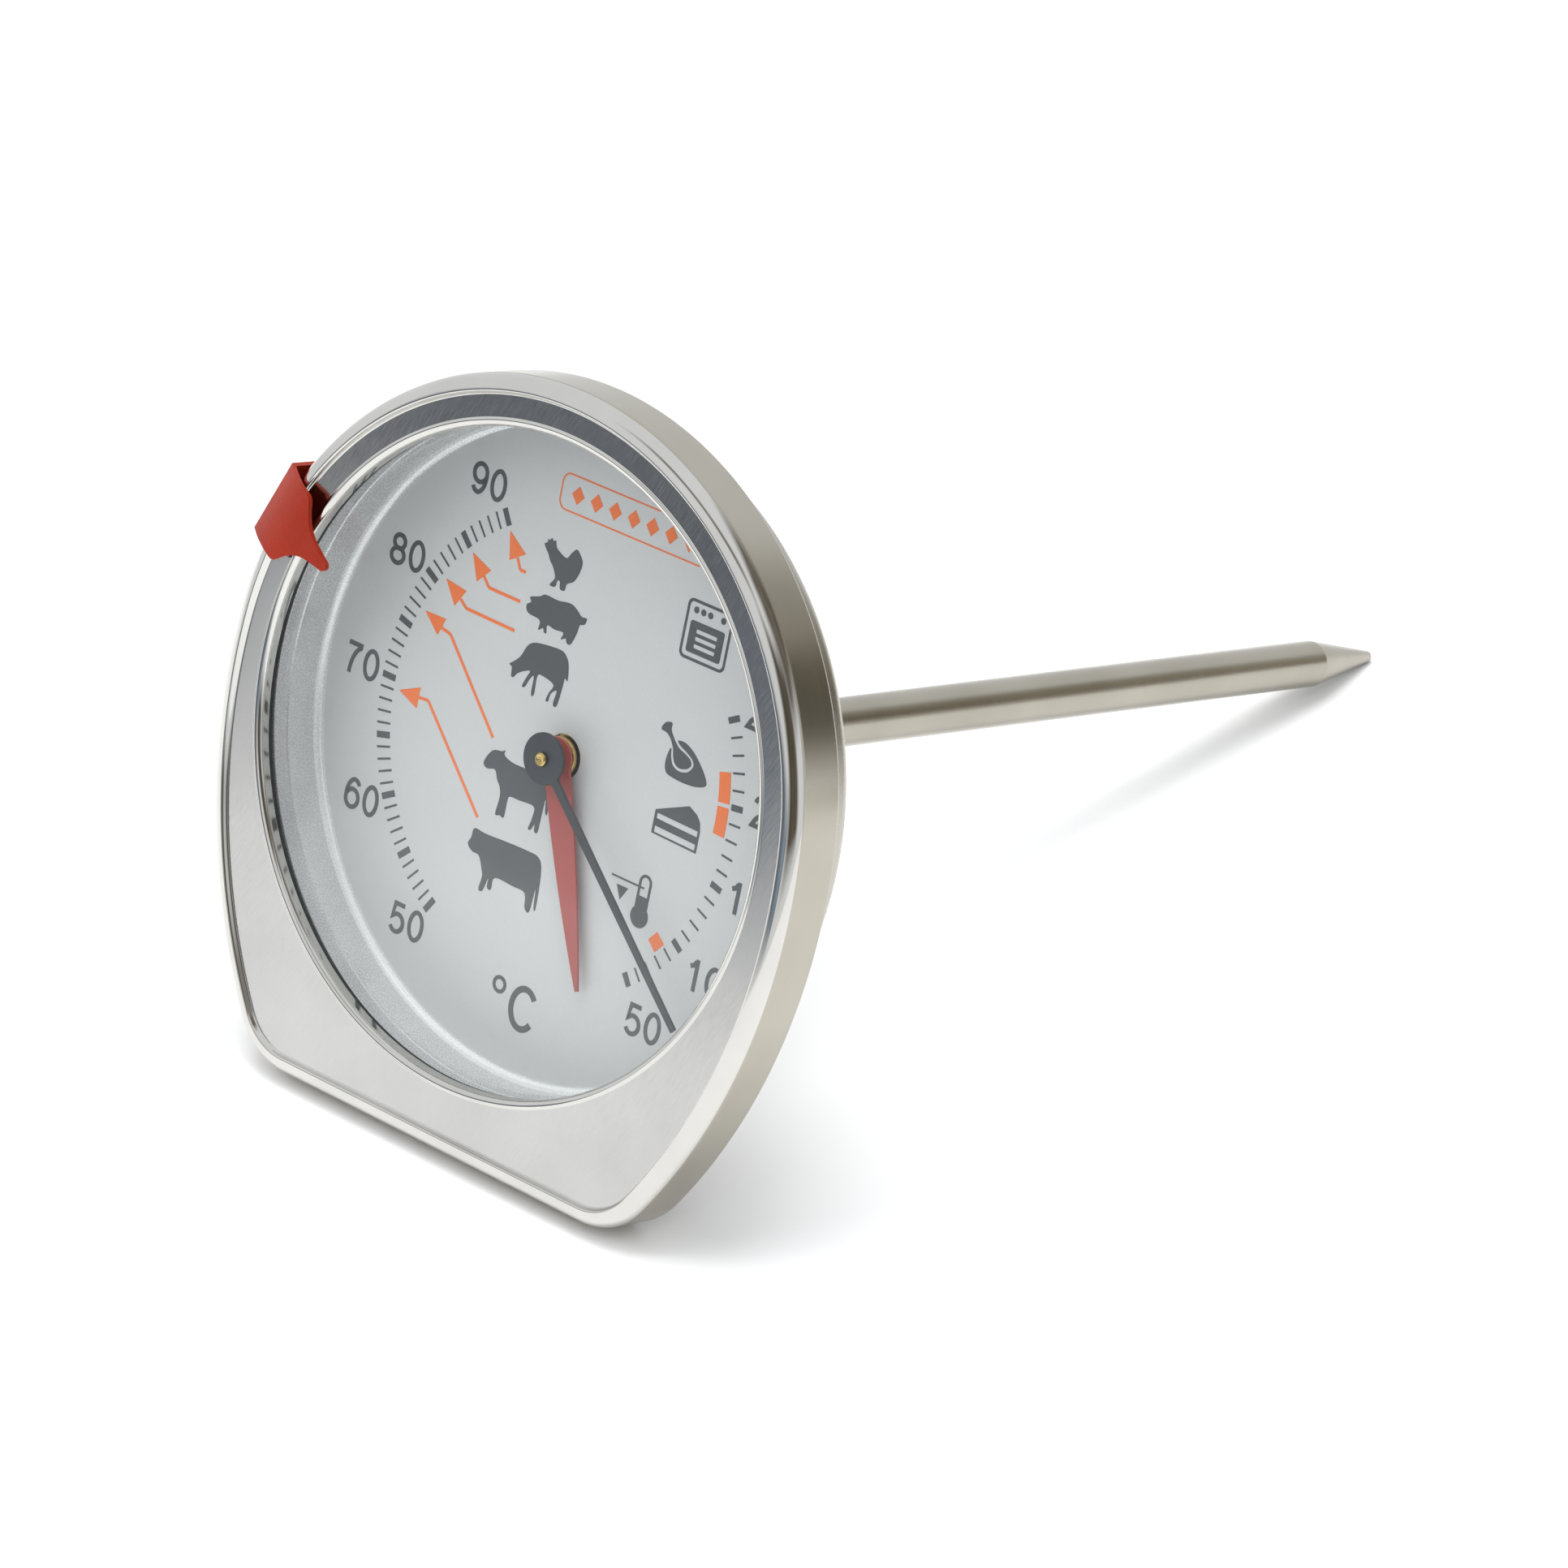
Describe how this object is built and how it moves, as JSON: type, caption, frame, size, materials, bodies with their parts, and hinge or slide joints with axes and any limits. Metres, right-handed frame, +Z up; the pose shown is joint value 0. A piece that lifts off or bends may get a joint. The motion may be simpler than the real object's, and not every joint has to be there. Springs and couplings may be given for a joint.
{
  "type": "meat and oven thermometer",
  "caption": "Kitchen dial thermometer with a D-shaped steel head, a meat pointer, an oven pointer, a sliding marker clip on the rim, and a pointed probe out of the back.",
  "frame": {"origin": "on the table, under the middle of the whole thermometer as it stands on the case's rear lower edge and the probe's tip", "axes": "+Z up; +Y from the dial towards the probe's tip; +X to the right as the dial is read"},
  "size_m": [0.0682, 0.1326, 0.0682],
  "materials": {
    "case_steel": "satin stainless steel with a polished bead and window lip",
    "probe_steel": "satin drawn stainless tube",
    "dial_silver": "fine satin silver with dark grey and orange print",
    "brass": "turned brass",
    "bimetal": "bare rolled bimetal strip",
    "black_paint": "satin black paint",
    "red_paint": "satin red paint",
    "orange_enamel": "glossy orange-red enamel",
    "black_rubber": "black rubber",
    "window_glass": "clear flat window glass"
  },
  "bodies": {
    "head": {"front_case": "case_steel", "window_gasket": "black_rubber", "window_glass": "window_glass", "dial_pan": "dial_silver", "pressure_ring": "case_steel", "back_cover": "case_steel", "arbor_bearing": "brass", "oven_bimetal_spiral": "bimetal", "spiral_anchor": "brass", "probe_tube": "probe_steel", "stem_washer": "case_steel", "stem_nut": "case_steel", "stem_collar": "case_steel", "spindle_guide_1": "brass", "spindle_guide_2": "brass", "meat_bimetal_helix": "bimetal", "helix_anchor_plug": "brass"},
    "meat_movement": {"meat_pointer": "black_paint", "meat_pointer_collet": "brass", "spindle": "brass", "helix_collar": "brass"},
    "oven_movement": {"oven_pointer": "red_paint", "oven_pointer_hub": "brass", "oven_arbor": "brass", "spiral_collet": "brass"},
    "marker": {"marker_clip": "orange_enamel"}
  },
  "joints": [
    {"name": "meat_pointer_turn", "type": "hinge", "parent": "head", "child": "meat_movement", "pos_m": [0, -0.05091, 0.03424], "axis": [0, 0.9608, -0.2772], "range_deg": [-60, 224], "stiffness_Nm_per_rad": 0.001},
    {"name": "oven_pointer_turn", "type": "hinge", "parent": "head", "child": "oven_movement", "pos_m": [0, -0.04939, 0.03381], "axis": [0, 0.9608, -0.2772], "range_deg": [-120, 5], "stiffness_Nm_per_rad": 0.001},
    {"name": "marker_slide", "type": "hinge", "parent": "head", "child": "marker", "pos_m": [0, -0.05336, 0.03495], "axis": [0, 0.9608, -0.2772], "range_deg": [-12, 144]}
  ]
}
